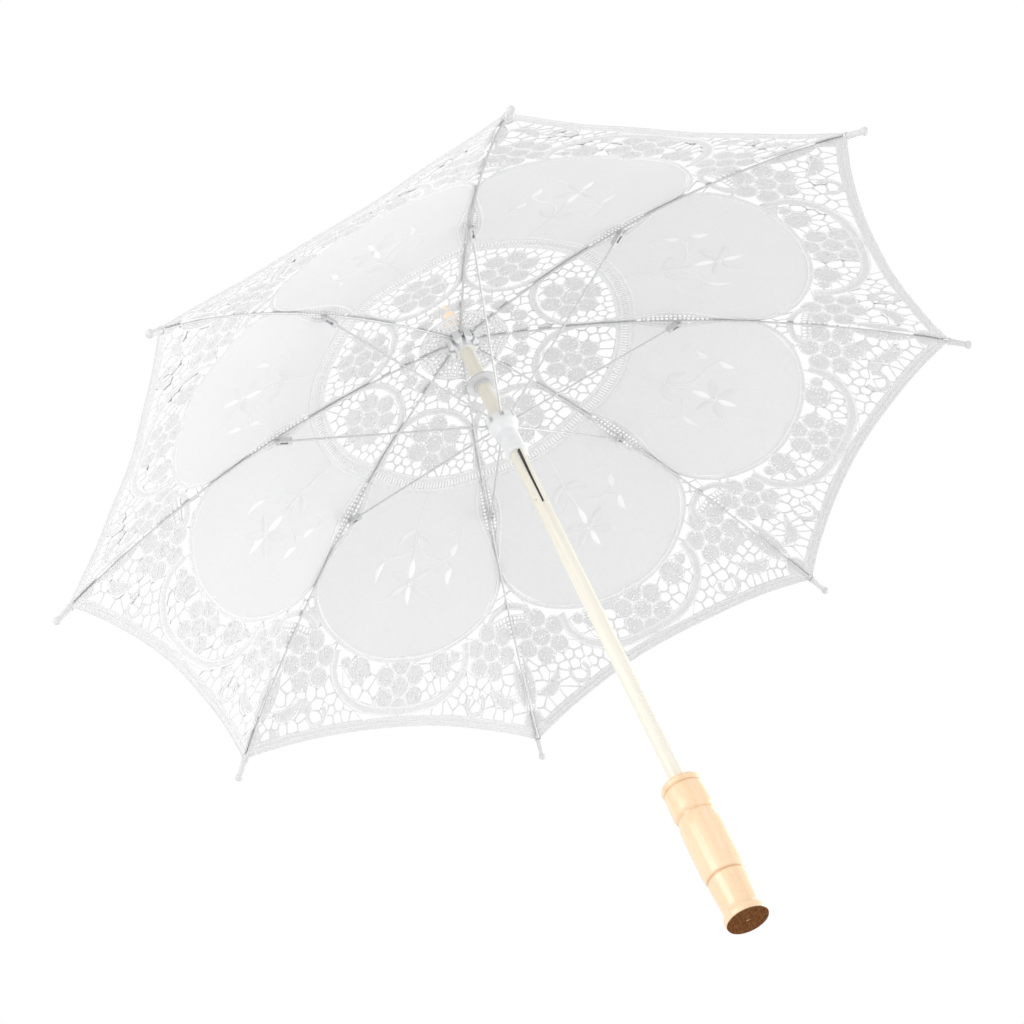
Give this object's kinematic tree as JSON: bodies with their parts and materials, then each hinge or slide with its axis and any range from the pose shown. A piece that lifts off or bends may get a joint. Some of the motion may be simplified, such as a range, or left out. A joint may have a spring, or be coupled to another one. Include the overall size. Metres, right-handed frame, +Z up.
{
  "type": "lace parasol",
  "caption": "Small open sun parasol: lace canopy on folding wire ribs and stretchers, sliding runner, wooden shaft and turned handle.",
  "frame": {"origin": "centre of the handle's flat underside, on the shaft's axis", "axes": "+Z up the shaft from the handle to the ferrule; +X towards rib 1; the ribs are numbered anticlockwise seen from above"},
  "size_m": [0.5656, 0.5656, 0.466],
  "materials": {
    "beech_handle": "clear glossy lacquer on pale turned beech",
    "painted_shaft": "thin cream paint with a soft sheen over straight-grained wood",
    "natural_ferrule": "clear lacquer on turned beech",
    "white_plastic": "moulded white plastic, slightly translucent",
    "clear_washer": "soft translucent white plastic",
    "painted_wire": "light grey-white paint on drawn steel wire",
    "bright_steel": "plain bright steel",
    "spring_steel": "dark tempered steel",
    "cotton_lace": "white cotton battenberg lace and plain cotton lawn"
  },
  "bodies": {
    "root": {"handle": "beech_handle", "shaft": "painted_shaft", "ferrule": "natural_ferrule", "notch": "white_plastic", "notch_wire": "bright_steel", "stop_disc": "clear_washer", "crown_rosette": "cotton_lace", "catch_pin": "bright_steel"},
    "catch": {"catch_spring": "spring_steel"},
    "runner": {"runner": "white_plastic", "runner_wire": "bright_steel"},
    "rib_1": {"rib_1": "painted_wire", "tip_cap_1": "white_plastic"},
    "stretcher_1": {"stretcher_1": "painted_wire", "rivet_1": "bright_steel"},
    "pleat_1_left": {"canopy_1_left": "cotton_lace"},
    "pleat_1_right": {"canopy_1_right": "cotton_lace"},
    "rib_2": {"rib_2": "painted_wire", "tip_cap_2": "white_plastic"},
    "stretcher_2": {"stretcher_2": "painted_wire", "rivet_2": "bright_steel"},
    "pleat_2_left": {"canopy_2_left": "cotton_lace"},
    "pleat_2_right": {"canopy_2_right": "cotton_lace"},
    "rib_3": {"rib_3": "painted_wire", "tip_cap_3": "white_plastic"},
    "stretcher_3": {"stretcher_3": "painted_wire", "rivet_3": "bright_steel"},
    "pleat_3_left": {"canopy_3_left": "cotton_lace"},
    "pleat_3_right": {"canopy_3_right": "cotton_lace"},
    "rib_4": {"rib_4": "painted_wire", "tip_cap_4": "white_plastic"},
    "stretcher_4": {"stretcher_4": "painted_wire", "rivet_4": "bright_steel"},
    "pleat_4_left": {"canopy_4_left": "cotton_lace"},
    "pleat_4_right": {"canopy_4_right": "cotton_lace"},
    "rib_5": {"rib_5": "painted_wire", "tip_cap_5": "white_plastic"},
    "stretcher_5": {"stretcher_5": "painted_wire", "rivet_5": "bright_steel"},
    "pleat_5_left": {"canopy_5_left": "cotton_lace"},
    "pleat_5_right": {"canopy_5_right": "cotton_lace"},
    "rib_6": {"rib_6": "painted_wire", "tip_cap_6": "white_plastic"},
    "stretcher_6": {"stretcher_6": "painted_wire", "rivet_6": "bright_steel"},
    "pleat_6_left": {"canopy_6_left": "cotton_lace"},
    "pleat_6_right": {"canopy_6_right": "cotton_lace"},
    "rib_7": {"rib_7": "painted_wire", "tip_cap_7": "white_plastic"},
    "stretcher_7": {"stretcher_7": "painted_wire", "rivet_7": "bright_steel"},
    "pleat_7_left": {"canopy_7_left": "cotton_lace"},
    "pleat_7_right": {"canopy_7_right": "cotton_lace"},
    "rib_8": {"rib_8": "painted_wire", "tip_cap_8": "white_plastic"},
    "stretcher_8": {"stretcher_8": "painted_wire", "rivet_8": "bright_steel"},
    "pleat_8_left": {"canopy_8_left": "cotton_lace"},
    "pleat_8_right": {"canopy_8_right": "cotton_lace"}
  },
  "joints": [
    {"name": "rib_1_fold", "type": "hinge", "parent": "root", "child": "rib_1", "pos_m": [0.0075, 0, 0.434], "axis": [0, 1, 0], "range_deg": [0, 66], "deforming": ["catch_spring"]},
    {"name": "stretcher_1_swing", "type": "hinge", "parent": "rib_1", "child": "stretcher_1", "pos_m": [0.1265, 0, 0.3988], "axis": [0, 1, 0], "range_deg": [-132, 0]},
    {"name": "canopy_1_left_pleat", "type": "hinge", "parent": "rib_1", "child": "pleat_1_left", "pos_m": [0.01133, 0, 0.44324], "axis": [0.9095, 0, -0.4157], "range_deg": [0, 65], "deforming": ["canopy_1_left"]},
    {"name": "canopy_1_right_pleat", "type": "hinge", "parent": "rib_1", "child": "pleat_1_right", "pos_m": [0.01133, 0, 0.44324], "axis": [0.9095, 0, -0.4157], "range_deg": [-65, 0], "deforming": ["canopy_1_right"]},
    {"name": "rib_2_fold", "type": "hinge", "parent": "root", "child": "rib_2", "pos_m": [0.0053, 0.0053, 0.434], "axis": [-0.7071, 0.7071, 0], "range_deg": [0, 66]},
    {"name": "stretcher_2_swing", "type": "hinge", "parent": "rib_2", "child": "stretcher_2", "pos_m": [0.08945, 0.08945, 0.3988], "axis": [-0.7071, 0.7071, 0], "range_deg": [-132, 0]},
    {"name": "canopy_2_left_pleat", "type": "hinge", "parent": "rib_2", "child": "pleat_2_left", "pos_m": [0.00801, 0.00801, 0.44324], "axis": [0.6431, 0.6431, -0.4157], "range_deg": [0, 65], "deforming": ["canopy_2_left"]},
    {"name": "canopy_2_right_pleat", "type": "hinge", "parent": "rib_2", "child": "pleat_2_right", "pos_m": [0.00801, 0.00801, 0.44324], "axis": [0.6431, 0.6431, -0.4157], "range_deg": [-65, 0], "deforming": ["canopy_2_right"]},
    {"name": "rib_3_fold", "type": "hinge", "parent": "root", "child": "rib_3", "pos_m": [0, 0.0075, 0.434], "axis": [-1, 0, 0], "range_deg": [0, 66]},
    {"name": "stretcher_3_swing", "type": "hinge", "parent": "rib_3", "child": "stretcher_3", "pos_m": [0, 0.1265, 0.3988], "axis": [-1, 0, 0], "range_deg": [-132, 0]},
    {"name": "canopy_3_left_pleat", "type": "hinge", "parent": "rib_3", "child": "pleat_3_left", "pos_m": [0, 0.01133, 0.44324], "axis": [0, 0.9095, -0.4157], "range_deg": [0, 65], "deforming": ["canopy_3_left"]},
    {"name": "canopy_3_right_pleat", "type": "hinge", "parent": "rib_3", "child": "pleat_3_right", "pos_m": [0, 0.01133, 0.44324], "axis": [0, 0.9095, -0.4157], "range_deg": [-65, 0], "deforming": ["canopy_3_right"]},
    {"name": "rib_4_fold", "type": "hinge", "parent": "root", "child": "rib_4", "pos_m": [-0.0053, 0.0053, 0.434], "axis": [-0.7071, -0.7071, 0], "range_deg": [0, 66]},
    {"name": "stretcher_4_swing", "type": "hinge", "parent": "rib_4", "child": "stretcher_4", "pos_m": [-0.08945, 0.08945, 0.3988], "axis": [-0.7071, -0.7071, 0], "range_deg": [-132, 0]},
    {"name": "canopy_4_left_pleat", "type": "hinge", "parent": "rib_4", "child": "pleat_4_left", "pos_m": [-0.00801, 0.00801, 0.44324], "axis": [-0.6431, 0.6431, -0.4157], "range_deg": [0, 65], "deforming": ["canopy_4_left"]},
    {"name": "canopy_4_right_pleat", "type": "hinge", "parent": "rib_4", "child": "pleat_4_right", "pos_m": [-0.00801, 0.00801, 0.44324], "axis": [-0.6431, 0.6431, -0.4157], "range_deg": [-65, 0], "deforming": ["canopy_4_right"]},
    {"name": "rib_5_fold", "type": "hinge", "parent": "root", "child": "rib_5", "pos_m": [-0.0075, 0, 0.434], "axis": [0, -1, 0], "range_deg": [0, 66]},
    {"name": "stretcher_5_swing", "type": "hinge", "parent": "rib_5", "child": "stretcher_5", "pos_m": [-0.1265, 0, 0.3988], "axis": [0, -1, 0], "range_deg": [-132, 0]},
    {"name": "canopy_5_left_pleat", "type": "hinge", "parent": "rib_5", "child": "pleat_5_left", "pos_m": [-0.01133, 0, 0.44324], "axis": [-0.9095, 0, -0.4157], "range_deg": [0, 65], "deforming": ["canopy_5_left"]},
    {"name": "canopy_5_right_pleat", "type": "hinge", "parent": "rib_5", "child": "pleat_5_right", "pos_m": [-0.01133, 0, 0.44324], "axis": [-0.9095, 0, -0.4157], "range_deg": [-65, 0], "deforming": ["canopy_5_right"]},
    {"name": "rib_6_fold", "type": "hinge", "parent": "root", "child": "rib_6", "pos_m": [-0.0053, -0.0053, 0.434], "axis": [0.7071, -0.7071, 0], "range_deg": [0, 66]},
    {"name": "stretcher_6_swing", "type": "hinge", "parent": "rib_6", "child": "stretcher_6", "pos_m": [-0.08945, -0.08945, 0.3988], "axis": [0.7071, -0.7071, 0], "range_deg": [-132, 0]},
    {"name": "canopy_6_left_pleat", "type": "hinge", "parent": "rib_6", "child": "pleat_6_left", "pos_m": [-0.00801, -0.00801, 0.44324], "axis": [-0.6431, -0.6431, -0.4157], "range_deg": [0, 65], "deforming": ["canopy_6_left"]},
    {"name": "canopy_6_right_pleat", "type": "hinge", "parent": "rib_6", "child": "pleat_6_right", "pos_m": [-0.00801, -0.00801, 0.44324], "axis": [-0.6431, -0.6431, -0.4157], "range_deg": [-65, 0], "deforming": ["canopy_6_right"]},
    {"name": "rib_7_fold", "type": "hinge", "parent": "root", "child": "rib_7", "pos_m": [0, -0.0075, 0.434], "axis": [1, 0, 0], "range_deg": [0, 66]},
    {"name": "stretcher_7_swing", "type": "hinge", "parent": "rib_7", "child": "stretcher_7", "pos_m": [0, -0.1265, 0.3988], "axis": [1, 0, 0], "range_deg": [-132, 0]},
    {"name": "canopy_7_left_pleat", "type": "hinge", "parent": "rib_7", "child": "pleat_7_left", "pos_m": [0, -0.01133, 0.44324], "axis": [0, -0.9095, -0.4157], "range_deg": [0, 65], "deforming": ["canopy_7_left"]},
    {"name": "canopy_7_right_pleat", "type": "hinge", "parent": "rib_7", "child": "pleat_7_right", "pos_m": [0, -0.01133, 0.44324], "axis": [0, -0.9095, -0.4157], "range_deg": [-65, 0], "deforming": ["canopy_7_right"]},
    {"name": "rib_8_fold", "type": "hinge", "parent": "root", "child": "rib_8", "pos_m": [0.0053, -0.0053, 0.434], "axis": [0.7071, 0.7071, 0], "range_deg": [0, 66]},
    {"name": "stretcher_8_swing", "type": "hinge", "parent": "rib_8", "child": "stretcher_8", "pos_m": [0.08945, -0.08945, 0.3988], "axis": [0.7071, 0.7071, 0], "range_deg": [-132, 0]},
    {"name": "canopy_8_left_pleat", "type": "hinge", "parent": "rib_8", "child": "pleat_8_left", "pos_m": [0.00801, -0.00801, 0.44324], "axis": [0.6431, -0.6431, -0.4157], "range_deg": [0, 65], "deforming": ["canopy_8_left"]},
    {"name": "canopy_8_right_pleat", "type": "hinge", "parent": "rib_8", "child": "pleat_8_right", "pos_m": [0.00801, -0.00801, 0.44324], "axis": [0.6431, -0.6431, -0.4157], "range_deg": [-65, 0], "deforming": ["canopy_8_right"]},
    {"name": "runner_travel", "type": "hinge", "parent": "stretcher_1", "child": "runner", "pos_m": [0.0075, 0, 0.3636], "axis": [0, 1, 0], "range_deg": [0, 66]},
    {"name": "catch_press", "type": "hinge", "parent": "root", "child": "catch", "pos_m": [0.00289, 0.00025, 0.298], "axis": [0.0872, -0.9962, 0], "range_deg": [0, 3.2], "stiffness_Nm_per_rad": 0.01, "springref_deg": -1.15}
  ],
  "couplings": [
    {"joint": "stretcher_1_swing", "follows": "rib_1_fold", "ratio": -2},
    {"joint": "canopy_1_left_pleat", "follows": "rib_1_fold", "ratio": 0.98485},
    {"joint": "canopy_1_right_pleat", "follows": "rib_1_fold", "ratio": -0.98485},
    {"joint": "rib_2_fold", "follows": "rib_1_fold", "ratio": 1},
    {"joint": "stretcher_2_swing", "follows": "rib_1_fold", "ratio": -2},
    {"joint": "canopy_2_left_pleat", "follows": "rib_1_fold", "ratio": 0.98485},
    {"joint": "canopy_2_right_pleat", "follows": "rib_1_fold", "ratio": -0.98485},
    {"joint": "rib_3_fold", "follows": "rib_1_fold", "ratio": 1},
    {"joint": "stretcher_3_swing", "follows": "rib_1_fold", "ratio": -2},
    {"joint": "canopy_3_left_pleat", "follows": "rib_1_fold", "ratio": 0.98485},
    {"joint": "canopy_3_right_pleat", "follows": "rib_1_fold", "ratio": -0.98485},
    {"joint": "rib_4_fold", "follows": "rib_1_fold", "ratio": 1},
    {"joint": "stretcher_4_swing", "follows": "rib_1_fold", "ratio": -2},
    {"joint": "canopy_4_left_pleat", "follows": "rib_1_fold", "ratio": 0.98485},
    {"joint": "canopy_4_right_pleat", "follows": "rib_1_fold", "ratio": -0.98485},
    {"joint": "rib_5_fold", "follows": "rib_1_fold", "ratio": 1},
    {"joint": "stretcher_5_swing", "follows": "rib_1_fold", "ratio": -2},
    {"joint": "canopy_5_left_pleat", "follows": "rib_1_fold", "ratio": 0.98485},
    {"joint": "canopy_5_right_pleat", "follows": "rib_1_fold", "ratio": -0.98485},
    {"joint": "rib_6_fold", "follows": "rib_1_fold", "ratio": 1},
    {"joint": "stretcher_6_swing", "follows": "rib_1_fold", "ratio": -2},
    {"joint": "canopy_6_left_pleat", "follows": "rib_1_fold", "ratio": 0.98485},
    {"joint": "canopy_6_right_pleat", "follows": "rib_1_fold", "ratio": -0.98485},
    {"joint": "rib_7_fold", "follows": "rib_1_fold", "ratio": 1},
    {"joint": "stretcher_7_swing", "follows": "rib_1_fold", "ratio": -2},
    {"joint": "canopy_7_left_pleat", "follows": "rib_1_fold", "ratio": 0.98485},
    {"joint": "canopy_7_right_pleat", "follows": "rib_1_fold", "ratio": -0.98485},
    {"joint": "rib_8_fold", "follows": "rib_1_fold", "ratio": 1},
    {"joint": "stretcher_8_swing", "follows": "rib_1_fold", "ratio": -2},
    {"joint": "canopy_8_left_pleat", "follows": "rib_1_fold", "ratio": 0.98485},
    {"joint": "canopy_8_right_pleat", "follows": "rib_1_fold", "ratio": -0.98485},
    {"joint": "runner_travel", "follows": "rib_1_fold", "ratio": 1}
  ]
}
